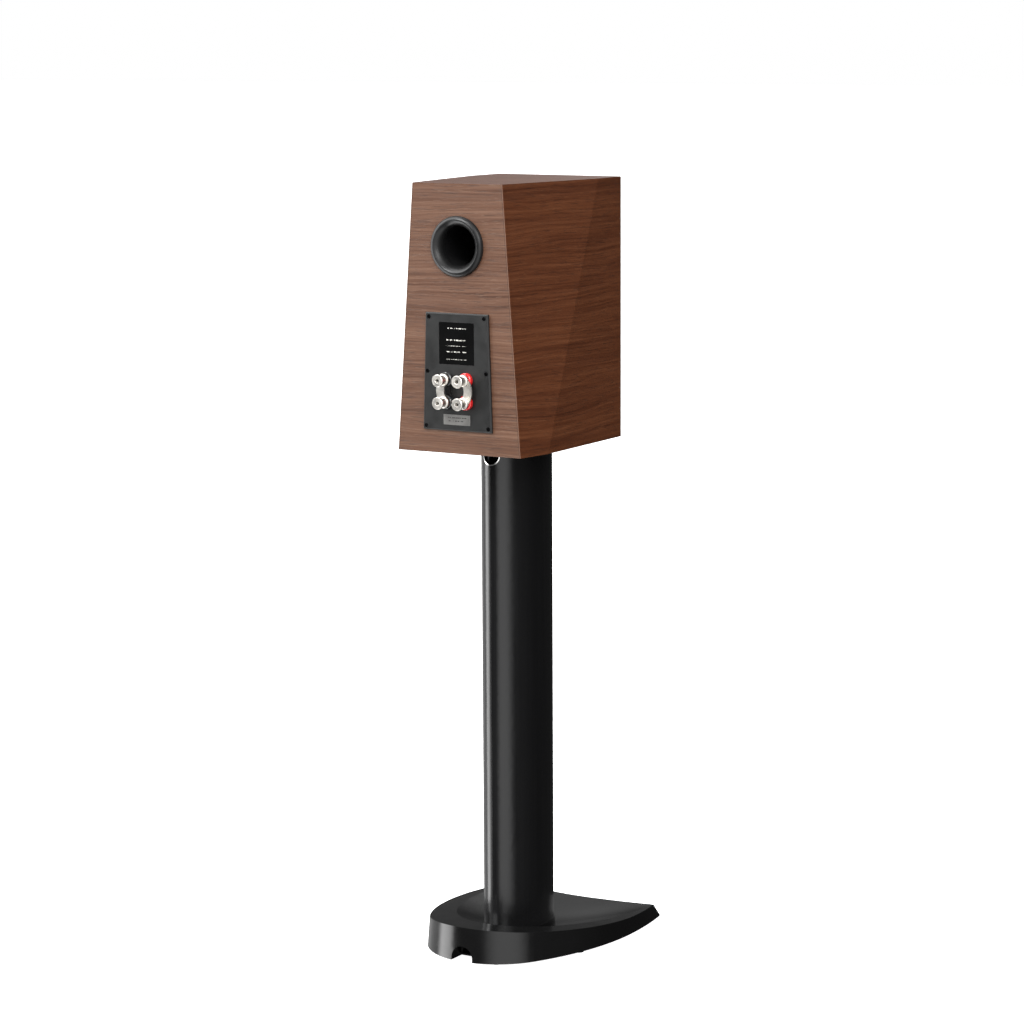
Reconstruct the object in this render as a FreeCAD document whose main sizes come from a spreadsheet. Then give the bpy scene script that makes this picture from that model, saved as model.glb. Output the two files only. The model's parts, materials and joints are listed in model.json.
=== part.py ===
"""Two-way bookshelf loudspeaker on its floor stand, as a parametric FreeCAD document.

Row frame: +Z up, +Y towards the rear of the speaker, +X to the listener's right.
The origin is on the floor, under the middle of the whole object. Millimetres.
"""
import FreeCAD, Part
import math
import os

import Sketcher
from FreeCAD import Placement, Rotation, Vector

SIZES = {
    # stand and cabinet
    "stand_rise": 741, "front_y": -120.15, "cab_rise": 380, "cab_depth": 281.3,
    "front_half": 103.6, "side_flare": 0.033, "crease_top_y": 70.4, "crease_low_y": 221.1,
    "rear_half_top": 74.2, "panel": 18, "baffle": 25,
    "brace_up": 216, "brace_thick": 18, "window_wide": 96, "window_deep": 66,
    "window_front_y": 70, "window_rear_y": 152, "felt_thick": 14, "insert_rad": 3.1,
    "terminal_cut_wide": 76, "terminal_cut_low": 52, "terminal_cut_high": 182,
    "woofer_screw_ring": 79, "tweeter_screw_ring": 52.3,
    # drive units
    "woofer_up": 118, "tweeter_up": 290, "flange_rad": 84, "flange_deep": 5,
    "basket_rad": 73, "woofer_hole": 74.5, "trim_inner": 74.6, "trim_outer": 87.5, "trim_rise": 3.2,
    "roll_mid": 64, "roll_rad": 5.1, "skin": 0.8, "coil_rad": 19.5, "pole_rad": 18,
    "magnet_rad": 50, "cone_deep": 31, "plate_top": -66, "plate_thick": 6, "magnet_thick": 18,
    "face_rad": 57, "face_deep": 4, "throat_rad": 15.5, "dome_rad": 12.5,
    "tweeter_hole": 48,
    # port
    "port_up": 292, "port_rad": 28, "port_wall": 3, "port_flange": 43, "lip_rise": 6.5,
    "port_reach": 150,
    # terminals
    "plate_low": 33, "plate_high": 199, "plate_half_low": 57, "plate_half_high": 51.5,
    "plate_deep": 4, "post_mid_up": 89.75, "post_x": 16.15, "post_up": 15.95,
    "stud_rad": 4, "socket_rad": 2.05, "socket_deep": 20, "stud_end": 27,
    "ring_rad": 10.2, "ring_top": 10, "strap_thick": 2, "strap_inner": 16.4, "strap_outer": 29.4,
    "washer_rad": 8.5, "washer_thick": 1.2, "nut_top": 30.5, "nut_cap_rad": 8.75,
    "nut_neck_rad": 6.6, "nut_hole": 2.8, "fit_gap": 0.06,
    # stand
    "column_y": 3.85, "column_half_x": 41, "column_half_y": 73, "column_wall": 3.2,
    "column_low": 24, "column_high": 732, "boss_x": 22, "boss_y": 44, "boss_rad": 8,
    "top_half_x": 60, "top_half_y": 90, "top_thick": 6, "pad_rise": 3, "notch_rad": 14,
    "notch_drop": 13, "trim_thick": 1.4, "speaker_bolt_x": 50, "speaker_bolt_y": 40,
    "foot_rise": 2, "foot_rad": 7, "arch_rad": 17.5, "arch_top": 24, "mouth_deep": 30,
    "channel_top": 19.5, "channel_floor": 2.5,
}


class Dim:
    """A size that carries both its value and the sheet expression it comes from."""

    def __init__(self, value, text):
        self.value = value
        self.text = text

    def __add__(self, other):
        other = dim(other)
        return Dim(self.value + other.value, f"({self.text} + {other.text})")

    def __sub__(self, other):
        other = dim(other)
        return Dim(self.value - other.value, f"({self.text} - {other.text})")

    def __mul__(self, other):
        other = dim(other)
        return Dim(self.value * other.value, f"({self.text} * {other.text})")

    def __truediv__(self, other):
        other = dim(other)
        return Dim(self.value / other.value, f"({self.text} / {other.text})")

    def __radd__(self, other):
        return dim(other) + self

    def __rsub__(self, other):
        return dim(other) - self

    def __rmul__(self, other):
        return dim(other) * self

    def __neg__(self):
        return Dim(-self.value, f"(0 - {self.text})")


def dim(value):
    """Wrap a plain number as a Dim."""
    if isinstance(value, Dim):
        return value
    return Dim(float(value), f"{float(value):.6f}")


doc = FreeCAD.newDocument("bookshelf_speaker")
sheet = doc.addObject("Spreadsheet::Sheet", "dims")
for row, (alias, size) in enumerate(SIZES.items(), start=1):
    sheet.set(f"A{row}", alias)
    sheet.set(f"B{row}", str(size))
    sheet.setAlias(f"B{row}", alias)
doc.recompute()


class Sheet:
    """Reads any alias of the sheet as a Dim: d.panel, d.baffle and so on."""

    def __getattr__(self, alias):
        return Dim(float(sheet.get(alias)), f"dims.{alias}")


d = Sheet()
NODES = []

UPRIGHT = Rotation()
FRONT = Rotation(Vector(1, 0, 0), 90)
REAR = Rotation(Vector(0, 1, 1), 180)


def keep(item, label):
    """Name an object as a sub-part that is handed over."""
    item.Label = label
    NODES.append(item)
    return item


def put(item, x=0, y=0, z=0, turn=UPRIGHT):
    """Place an object, with each coordinate bound to the sheet."""
    spot = [dim(x), dim(y), dim(z)]
    item.Placement = Placement(Vector(*[s.value for s in spot]), turn)
    for axis, s in zip("xyz", spot):
        item.setExpression(f"Placement.Base.{axis}", s.text)
    return item


def at_front(item, up):
    """Put a driver on the baffle: its own +Z points out of the front."""
    return put(item, 0, d.front_y, d.stand_rise + up, FRONT)


def at_rear(item, x=0, up=0):
    """Put a piece on the rear face: its own +Z points out of the rear, its +X to -X."""
    return put(item, x, d.front_y + d.cab_depth, d.stand_rise + up, REAR)


def origin_plane(body, role):
    """The body's own origin plane."""
    for feature in body.Origin.OriginFeatures:
        if feature.Role == role:
            return feature
    raise ValueError(role)


def pin_corner(sketch, geo, end, corner):
    """Hold one corner by its two distances from the sketch origin."""
    x, y = dim(corner[0]), dim(corner[1])
    if abs(x.value) < 1e-9 and abs(y.value) < 1e-9:
        sketch.addConstraint(constraint("Coincident", geo, end, -1, 1))
        return
    if abs(x.value) < 1e-9:
        sketch.addConstraint(constraint("PointOnObject", geo, end, -2))
    else:
        number = sketch.addConstraint(constraint("DistanceX", -1, 1, geo, end, x.value))
        sketch.setExpression(f"Constraints[{number}]", x.text)
    if abs(y.value) < 1e-9:
        sketch.addConstraint(constraint("PointOnObject", geo, end, -1))
    else:
        number = sketch.addConstraint(constraint("DistanceY", -1, 1, geo, end, y.value))
        sketch.setExpression(f"Constraints[{number}]", y.text)


def constraint(*words):
    """A Sketcher constraint."""
    return Sketcher.Constraint(*words)


def add_outline(sketch, corners):
    """Closed outline. A corner (x, y, bulge) starts an arc of that height, left of its chord.

    A corner (x, y, bulge, True) starts an arc whose centre stays on the vertical axis.
    """
    first = sketch.GeometryCount
    ends = []
    count = len(corners)
    for index, corner in enumerate(corners):
        following = corners[(index + 1) % count]
        a = Vector(dim(corner[0]).value, dim(corner[1]).value, 0)
        b = Vector(dim(following[0]).value, dim(following[1]).value, 0)
        if len(corner) == 2:
            sketch.addGeometry(Part.LineSegment(a, b), False)
            ends.append((1, 2))
            continue
        bulge = dim(corner[2]).value
        chord = b - a
        left = Vector(-chord.y, chord.x, 0).normalize()
        radius = chord.Length ** 2 / (8 * abs(bulge)) + abs(bulge) / 2
        centre = (a + b) * 0.5 + left * (bulge - math.copysign(radius, bulge))
        start, stop = (b, a) if bulge > 0 else (a, b)
        first_angle = math.atan2(start.y - centre.y, start.x - centre.x)
        last_angle = math.atan2(stop.y - centre.y, stop.x - centre.x)
        if last_angle < first_angle:
            last_angle += 2 * math.pi
        circle = Part.Circle(centre, Vector(0, 0, 1), radius)
        sketch.addGeometry(Part.ArcOfCircle(circle, first_angle, last_angle), False)
        ends.append((2, 1) if bulge > 0 else (1, 2))
    for index in range(count):
        nxt = (index + 1) % count
        sketch.addConstraint(constraint("Coincident", first + index, ends[index][1],
                                        first + nxt, ends[nxt][0]))
        pin_corner(sketch, first + index, ends[index][0], corners[index])
    for index, corner in enumerate(corners):
        if len(corner) == 4:
            sketch.addConstraint(constraint("PointOnObject", first + index, 3, -2))
        if len(corner) == 3:
            following = corners[(index + 1) % count]
            run = dim(following[0]) - dim(corner[0])
            rise = dim(following[1]) - dim(corner[1])
            high = dim(corner[2])
            if high.value < 0:
                high = -high
            radius = (run * run + rise * rise) / (8 * high) + high / 2
            number = sketch.addConstraint(constraint("Radius", first + index, radius.value))
            sketch.setExpression(f"Constraints[{number}]", radius.text)


def add_circle(sketch, x, y, radius):
    """Circle with its centre and radius bound to the sheet."""
    x, y, radius = dim(x), dim(y), dim(radius)
    circle = Part.Circle(Vector(x.value, y.value, 0), Vector(0, 0, 1), radius.value)
    geo = sketch.addGeometry(circle, False)
    number = sketch.addConstraint(constraint("Radius", geo, radius.value))
    sketch.setExpression(f"Constraints[{number}]", radius.text)
    pin_corner(sketch, geo, 3, (x, y))


def new_sketch(body, role, name, lift=0):
    """Sketch on one of the body's own planes, lifted along its normal."""
    sketch = body.newObject("Sketcher::SketchObject", name)
    sketch.AttachmentSupport = [(origin_plane(body, role), "")]
    sketch.MapMode = "FlatFace"
    lift = dim(lift)
    sketch.AttachmentOffset = Placement(Vector(0, 0, lift.value), Rotation())
    sketch.setExpression("AttachmentOffset.Base.z", lift.text)
    return sketch


def turned(name, profile):
    """Round piece: a profile of (radius, height) corners turned about its own Z axis."""
    body = doc.addObject("PartDesign::Body", name)
    sketch = new_sketch(body, "XZ_Plane", name + "_profile")
    add_outline(sketch, profile)
    feature = body.newObject("PartDesign::Revolution", name + "_turn")
    feature.Profile = sketch
    feature.ReferenceAxis = (sketch, ["V_Axis"])
    feature.Angle = 360
    body.Tip = feature
    return body


def plate(name, outline, low, thick, holes=(), windows=()):
    """Flat piece: an outline padded along Z, with round holes and shaped windows."""
    body = doc.addObject("PartDesign::Body", name)
    sketch = new_sketch(body, "XY_Plane", name + "_outline", low)
    if isinstance(outline, (list, tuple)):
        add_outline(sketch, outline)
    else:
        add_circle(sketch, 0, 0, outline)
    for hole in holes:
        add_circle(sketch, *hole)
    for window in windows:
        add_outline(sketch, window)
    feature = body.newObject("PartDesign::Pad", name + "_pad")
    feature.Profile = sketch
    feature.Length = dim(thick).value
    feature.setExpression("Length", dim(thick).text)
    body.Tip = feature
    return body


def cut_pocket(body, name, lift, depth, circles=(), outline=None, count=1):
    """Pocket cut down from a lifted sketch, repeated round the body's Z axis."""
    sketch = new_sketch(body, "XY_Plane", name + "_shape", lift)
    for circle in circles:
        add_circle(sketch, *circle)
    if outline:
        add_outline(sketch, outline)
    doc.recompute()
    before = body.Shape.Volume
    feature = body.newObject("PartDesign::Pocket", name)
    feature.Profile = sketch
    feature.Length = dim(depth).value
    feature.setExpression("Length", dim(depth).text)
    body.Tip = feature
    if count > 1:
        pattern = body.newObject("PartDesign::PolarPattern", name + "_round")
        pattern.Originals = [feature]
        pattern.Axis = (sketch, ["N_Axis"])
        pattern.Angle = 360
        pattern.Occurrences = count
        body.Tip = pattern
    doc.recompute()
    if body.Shape.Volume >= before - 1e-6:
        raise RuntimeError(name + " cuts nothing")
    return body


def tube(name, outer, inner, low, thick):
    """Plain ring or sleeve along Z."""
    return plate(name, outer, low, thick, holes=[(0, 0, inner)])


def box(name, size, spot):
    """Box with its low corner at a spot, both bound to the sheet."""
    item = doc.addObject("Part::Box", name)
    for side, length in zip(("Length", "Width", "Height"), size):
        setattr(item, side, dim(length).value)
        item.setExpression(side, dim(length).text)
    return put(item, *spot)


def rod(name, radius, length, spot, turn=UPRIGHT):
    """Cylinder starting at a spot, both bound to the sheet."""
    item = doc.addObject("Part::Cylinder", name)
    item.Radius = dim(radius).value
    item.setExpression("Radius", dim(radius).text)
    item.Height = dim(length).value
    item.setExpression("Height", dim(length).text)
    return put(item, *spot, turn)


def cut(name, base, tools):
    """Base with tools cut away, each of which must remove something."""
    for number, tool in enumerate(tools):
        item = doc.addObject("Part::Cut", f"{name}_cut{number}")
        item.Base = base
        item.Tool = tool
        doc.recompute()
        if item.Shape.Volume >= base.Shape.Volume - 1e-6:
            raise RuntimeError(item.Name + " cuts nothing")
        base = item
    return base


def group(name, items):
    """Several separate solids in one node."""
    item = doc.addObject("Part::Compound", name)
    item.Links = items
    return keep(item, name)


def shaped(name, shape):
    """Feature with a shape made by Part's own functions from the sheet's sizes."""
    item = doc.addObject("Part::Feature", name)
    item.Shape = shape
    return item


# ---------------------------------------------------------------- cabinet

def cabinet_faces():
    """Each outer facet as (panel, point on it, outward normal, panel thickness)."""
    depth = d.cab_depth.value
    rise = d.cab_rise.value
    half = d.front_half.value
    flare = d.side_flare.value
    top = d.crease_top_y.value
    low = d.crease_low_y.value
    panel = d.panel.value
    front = Vector(half, 0, 0)
    crease_top = Vector(half + flare * top, top, rise)
    crease_low = Vector(half + flare * low, low, 0)
    rear_top = Vector(d.rear_half_top.value, depth, rise)
    rear_normal = (rear_top - crease_low).cross(crease_top - crease_low).normalize()
    if rear_normal.x < 0:
        rear_normal = rear_normal * -1
    faces = [
        ("front_baffle", Vector(0, 0, 0), Vector(0, -1, 0), d.baffle.value),
        ("cabinet_back", Vector(0, depth, 0), Vector(0, 1, 0), panel),
        ("cabinet_bottom", Vector(0, 0, 0), Vector(0, 0, -1), panel),
        ("cabinet_top", Vector(0, 0, rise), Vector(0, 0, 1), panel),
    ]
    for point, normal in ((front, Vector(1, -flare, 0).normalize()), (crease_low, rear_normal)):
        for name, sign in (("cabinet_side_right", 1), ("cabinet_side_left", -1)):
            faces.append((name, Vector(sign * point.x, point.y, point.z),
                          Vector(sign * normal.x, normal.y, normal.z), panel))
    return faces


def beyond(point, outward):
    """Large block that starts at a plane and lies on its outward side."""
    reach = 500
    block = Part.makeBox(2 * reach, 2 * reach, reach, Vector(-reach, -reach, 0))
    block.Placement = Placement(point, Rotation(Vector(0, 0, 1), outward))
    return block


def cabinet_body(wall=0):
    """The faceted cabinet as one solid, every face drawn in by a wall thickness."""
    solid = Part.makeBox(400, 400, 500, Vector(-200, -50, -50))
    for _, point, normal, _ in cabinet_faces():
        solid = solid.cut(beyond(point - normal * wall, normal))
    return solid


def cabinet_panel(name):
    """One panel of the shell, mitred against its neighbours at every corner."""
    faces = cabinet_faces()
    regions = []
    for own in faces:
        if own[0] != name:
            continue
        region = cabinet_body().common(beyond(own[1] - own[2] * own[3], own[2]))
        for other in faces:
            if other[0] == name:
                continue
            slant = own[2] / own[3] - other[2] / other[3]
            level = own[1].dot(own[2]) / own[3] - other[1].dot(other[2]) / other[3]
            region = region.cut(beyond(slant * (level / slant.Length ** 2), slant * -1))
        regions.append(region)
    panel = regions[0]
    for region in regions[1:]:
        panel = panel.fuse(region)
    return panel.removeSplitter()


def cabinet_slice(wall, y_range, z_range):
    """Part of the cabinet's inside, between two depths and two heights."""
    y0, y1 = y_range
    z0, z1 = z_range
    zone = Part.makeBox(400, y1 - y0, z1 - z0, Vector(-200, y0, z0))
    return cabinet_body(wall).common(zone)


def cabinet_spot(item):
    """Move a cabinet slice from the cabinet's own corner frame to its place."""
    return put(item, 0, d.front_y, d.stand_rise)


def make_cabinet():
    depth = d.cab_depth.value
    rise = d.cab_rise.value
    panel = d.panel.value
    baffle = d.baffle.value
    inner_y = (baffle, depth - panel)
    speaker_z = d.stand_rise

    front = cabinet_spot(shaped("baffle_blank", cabinet_panel("front_baffle")))
    deep = d.baffle + 2
    face = d.front_y - 1
    along = Rotation(Vector(1, 0, 0), -90)
    tools = []
    for word, up, hole, rebate, sunk in (
            ("woofer", d.woofer_up, d.woofer_hole, d.flange_rad + 0.5, d.flange_deep),
            ("tweeter", d.tweeter_up, d.tweeter_hole, d.face_rad + 0.4, d.face_deep)):
        tools.append(rod(word + "_hole", hole, deep, (0, face, speaker_z + up), along))
        tools.append(rod(word + "_rebate", rebate, sunk + 1, (0, face, speaker_z + up), along))
    for number, (x, y, up, _, _) in enumerate(driver_screw_spots()):
        tools.append(rod(f"pilot{number}", 1.9, 16, (x, d.front_y + 3, speaker_z + up + y), along))
    keep(cut("front_baffle", front, tools), "front_baffle")

    back = cabinet_spot(shaped("back_blank", cabinet_panel("cabinet_back")))
    rear = d.front_y + d.cab_depth
    tools = [
        rod("port_hole", d.port_rad + d.port_wall + 0.4, d.panel + 2,
            (0, rear - d.panel - 1, speaker_z + d.port_up), along),
        box("terminal_hole",
            (d.terminal_cut_wide, d.panel + 2, d.terminal_cut_high - d.terminal_cut_low),
            (d.terminal_cut_wide / -2, rear - d.panel - 1, speaker_z + d.terminal_cut_low)),
    ]
    for number, (x, up) in enumerate(plate_screw_spots()):
        tools.append(rod(f"plate_pilot{number}", 1.5, 15, (x, rear - 14, speaker_z + up), along))
    keep(cut("cabinet_back", back, tools), "cabinet_back")

    for name in ("cabinet_top", "cabinet_side_left", "cabinet_side_right"):
        keep(cabinet_spot(shaped(name, cabinet_panel(name))), name)

    low = cabinet_spot(shaped("bottom_blank", cabinet_panel("cabinet_bottom")))
    tools = []
    for number, (x, y) in enumerate(speaker_bolt_spots()):
        tools.append(rod(f"insert_hole{number}", d.insert_rad, 14, (x, y, speaker_z - 1)))
    keep(cut("cabinet_bottom", low, tools), "cabinet_bottom")

    brace = (d.brace_up.value, (d.brace_up + d.brace_thick).value)
    shelf = cabinet_spot(shaped("brace_blank", cabinet_slice(panel, inner_y, brace)))
    under = speaker_z + d.brace_up - 1
    through = d.brace_thick + 2
    windows = [box(f"brace_window{i}", (d.window_wide, d.window_deep, through),
                   (d.window_wide / -2, d.front_y + start, under))
               for i, start in enumerate((d.window_front_y, d.window_rear_y))]
    slot = box("brace_slot", (60, 30, through), (-30, d.front_y + 20, under))
    keep(cut("cabinet_brace", shelf, windows + [slot]), "cabinet_brace")

    felt_top = rise - panel
    felt = shaped("damping_felt", cabinet_slice(panel, (baffle + 5, depth - panel - 5),
                                                (felt_top - d.felt_thick.value, felt_top)))
    keep(cabinet_spot(felt), "damping_felt")


def ring_spots(radius, count, first):
    """Evenly spaced (x, y) spots on a circle."""
    turns = [math.radians(first + 360 * i / count) for i in range(count)]
    return [(radius * math.cos(a), radius * math.sin(a)) for a in turns]


def driver_screw_spots():
    """x, y about the driver, driver height, head seat below the baffle face and shank length."""
    woofer = [(x, y, d.woofer_up, -2.6, 15) for x, y in woofer_screw_ring()]
    tweeter = [(x, y, d.tweeter_up, -2.2, 14) for x, y in tweeter_screw_ring()]
    return woofer + tweeter


def woofer_screw_ring():
    """Six screws through the basket's flange."""
    return ring_spots(d.woofer_screw_ring.value, 6, 30)


def tweeter_screw_ring():
    """Four screws through the tweeter's faceplate."""
    return ring_spots(d.tweeter_screw_ring.value, 4, 45)


def plate_screw_spots():
    """Six screws down the two edges of the terminal plate."""
    return [(side * x, up) for side in (-1, 1) for x, up in ((45.5, 193), (48.6, 116), (51.6, 38.6))]


def speaker_bolt_spots():
    """Four bolts that hold the cabinet to the stand's top plate."""
    return [(sx * d.speaker_bolt_x, d.column_y + sy * d.speaker_bolt_y)
            for sx in (-1, 1) for sy in (-1, 1)]


def cap_bulge(radius, rise):
    """Height of the arc from a spherical cap's top to its edge, above its chord."""
    ball = (radius ** 2 + rise ** 2) / (2 * rise)
    return ball - math.sqrt(ball ** 2 - (radius ** 2 + rise ** 2) / 4)


# ---------------------------------------------------------------- woofer

def make_woofer():
    up = d.woofer_up
    top = d.plate_top
    inner = d.roll_mid + d.roll_rad + 0.4
    basket = turned("woofer_basket", [
        (inner, 0), (d.flange_rad, 0), (d.flange_rad, -d.flange_deep), (d.basket_rad, -d.flange_deep),
        (50, top + 3), (50, top), (24, top), (24, top + 3), (46.6, top + 3), (50.4, -54),
        (46, -54), (46, -52), (51.4, -52), (inner, -6)])
    cut_pocket(basket, "woofer_basket_window", -8, 51,
               outline=[(52.5, -16), (68.5, -21), (68.5, 21), (52.5, 16)], count=6)
    cut_pocket(basket, "woofer_basket_screw_hole", 0, 6,
               circles=[(x, y, 2.2) for x, y in woofer_screw_ring()])
    cut_pocket(basket, "woofer_basket_head_seat", 0, 2.6,
               circles=[(x, y, 4.2) for x, y in woofer_screw_ring()])
    keep(at_front(basket, up), "woofer_basket")

    trim = turned("woofer_trim_ring", [
        (d.trim_inner, 0), (d.trim_outer, 0, -0.5), (d.trim_outer - 2.2, d.trim_rise),
        (d.trim_inner + 1.2, d.trim_rise)])
    keep(at_front(trim, up), "woofer_trim_ring")

    edge = d.roll_mid - d.roll_rad
    cone = turned("woofer_cone", [
        (d.coil_rad, -d.cone_deep - 1.2), (d.coil_rad + 0.7, -d.cone_deep - 1.2),
        (edge - 3.6, -1.2), (edge - 1, -1.2), (edge - 1, 0), (edge - 4.4, 0),
        (d.coil_rad, -d.cone_deep)])
    keep(at_front(cone, up), "woofer_cone")

    cap_low = -d.cone_deep + 2.3
    cap = turned("woofer_dust_cap", [
        (0, cap_low + 6.2), (0, cap_low + 7, cap_bulge(22, 7), True), (22, cap_low),
        (21.2, cap_low, -cap_bulge(21.2, 6.2), True)])
    keep(at_front(cap, up), "woofer_dust_cap")

    out = d.roll_rad + d.skin
    surround = turned("woofer_surround", [
        (d.roll_mid + 10, 0), (d.roll_mid + 10, d.skin),
        (d.roll_mid + out, d.skin, out * -0.95), (d.roll_mid - out, d.skin),
        (edge - 4, d.skin), (edge - 4, 0),
        (edge, 0), (edge, d.skin, d.roll_rad * 0.95), (d.roll_mid + d.roll_rad, d.skin),
        (d.roll_mid + d.roll_rad, 0)])
    keep(at_front(surround, up), "woofer_surround")

    waves = [(20.0 + 4 * i, -50.6 + (1.3 if i % 2 else 0)) for i in range(7)]
    upper = [(r, z + 0.6) for r, z in waves]
    spider = turned("woofer_spider", [(d.coil_rad, -50.6)] + waves + [(50.8, -50.6), (50.8, -52),
                    (51.2, -52), (51.2, -50), (50.2, -50)] + upper[::-1] + [(d.coil_rad, -50)])
    keep(at_front(spider, up), "woofer_spider")

    former = d.coil_rad - 0.6
    coil = turned("woofer_voice_coil", [
        (former, -74), (d.coil_rad, -74), (d.coil_rad, -73), (d.coil_rad + 0.7, -73),
        (d.coil_rad + 0.7, -61), (d.coil_rad, -61), (d.coil_rad, -30.2), (former, -30.2)])
    keep(at_front(coil, up), "woofer_voice_coil")

    magnet_top = top - d.plate_thick
    magnet_low = magnet_top - d.magnet_thick
    keep(at_front(tube("woofer_top_plate", d.magnet_rad - 2, d.coil_rad + 1.7, magnet_top,
                       d.plate_thick), up), "woofer_top_plate")
    keep(at_front(tube("woofer_magnet", d.magnet_rad, 28, magnet_low, d.magnet_thick), up),
         "woofer_magnet")
    yoke = turned("woofer_yoke", [
        (8, magnet_low - d.plate_thick), (d.magnet_rad - 2, magnet_low - d.plate_thick),
        (d.magnet_rad - 2, magnet_low), (d.pole_rad, magnet_low), (d.pole_rad, top + 1), (8, top + 1)])
    keep(at_front(yoke, up), "woofer_yoke")


# ---------------------------------------------------------------- tweeter

def make_tweeter():
    up = d.tweeter_up
    throat = d.throat_rad
    face = turned("tweeter_faceplate", [
        (d.face_rad, -d.face_deep), (d.face_rad, 0), (47.5, 0, -3.4), (throat, -12), (throat, -16),
        (24, -16), (44, -d.face_deep)])
    cut_pocket(face, "tweeter_screw_hole", 0, 5,
               circles=[(x, y, 2.2) for x, y in tweeter_screw_ring()])
    cut_pocket(face, "tweeter_head_seat", 0, 2.2,
               circles=[(x, y, 3.9) for x, y in tweeter_screw_ring()])
    keep(at_front(face, up), "tweeter_faceplate")

    guard = turned("tweeter_guard", [
        (0, -7), (0, -6.4, cap_bulge(15.4, 4.2), True), (throat - 0.1, -10.6), (throat - 0.1, -11.4),
        (throat - 0.9, -11.4, -cap_bulge(14.6, 4.4), True)])
    holes = [(0, 0, 1.1)]
    for ring, count in ((3.4, 6), (6.8, 12), (10.2, 18)):
        holes += [(x, y, 1.1) for x, y in ring_spots(ring, count, 0)]
    cut_pocket(guard, "tweeter_guard_hole", 0, 13, circles=holes)
    keep(at_front(guard, up), "tweeter_guard")

    seat = -16.4
    dome = turned("tweeter_dome", [
        (0, seat + 4.2), (0, seat + 4.6, cap_bulge(12.5, 4.6), True), (d.dome_rad, seat),
        (d.dome_rad - 0.5, seat, -cap_bulge(12, 4.2), True)])
    keep(at_front(dome, up), "tweeter_dome")
    skirt = turned("tweeter_surround", [
        (d.dome_rad, seat), (12.9, seat), (12.9, seat + 0.4, 1.0), (15.1, seat + 0.4), (15.1, seat),
        (18, seat), (18, seat + 0.4), (15.4, seat + 0.4, -1.3), (12.6, seat + 0.4),
        (d.dome_rad, seat + 0.4)])
    keep(at_front(skirt, up), "tweeter_surround")
    keep(at_front(tube("tweeter_voice_coil", d.dome_rad + 0.3, d.dome_rad - 0.2, -22, 5.6), up),
         "tweeter_voice_coil")
    keep(at_front(tube("tweeter_top_plate", 30, 13.5, -20.4, 4), up), "tweeter_top_plate")
    keep(at_front(tube("tweeter_magnet", 34, 17, -34.4, 14), up), "tweeter_magnet")
    yoke = turned("tweeter_yoke", [
        (3, -38.4), (30, -38.4), (30, -34.4), (11.6, -34.4), (11.6, -17.6), (3, -17.6)])
    keep(at_front(yoke, up), "tweeter_yoke")


def make_driver_screws():
    screws = []
    for number, (x, y, up, seat, length) in enumerate(driver_screw_spots()):
        head = 3.7
        screw = turned(f"driver_screw{number}", [
            (0, seat - length), (1.2, seat - length), (1.85, seat - length + 2), (1.85, seat),
            (head, seat), (head, seat + 1.8), (1.6, seat + 1.8), (1.6, seat + 0.6), (0, seat + 0.6)])
        put(screw, x, d.front_y, d.stand_rise + up + y, FRONT)
        screws.append(screw)
    group("driver_screws", screws)


# ---------------------------------------------------------------- port

def make_port():
    up = d.port_up
    bore = d.port_rad
    outer = bore + d.port_wall
    flange = turned("port_flange", [
        (outer, 0), (d.port_flange, 0, -1.9), (d.port_flange - 6.5, d.lip_rise, -3.3),
        (bore, -11), (bore, -22), (outer, -22)])
    keep(at_rear(flange, 0, up), "port_flange")
    end = -22 - (d.port_reach - 22)
    keep(at_rear(tube("port_tube", outer, bore, end, d.port_reach - 22), 0, up), "port_tube")
    flare = turned("port_inner_flare", [
        (bore, end), (outer, end), (outer, end - 4, -1.6), (bore + 12, end - 12),
        (bore + 9.5, end - 13, 2.0)])
    keep(at_rear(flare, 0, up), "port_inner_flare")


# ---------------------------------------------------------------- terminals

def post_spots():
    """The four binding posts as (name, local x, height)."""
    low = d.post_mid_up - d.post_up
    high = d.post_mid_up + d.post_up
    return [("red_high", d.post_x, high), ("red_low", d.post_x, low),
            ("black_high", -d.post_x, high), ("black_low", -d.post_x, low)]


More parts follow.
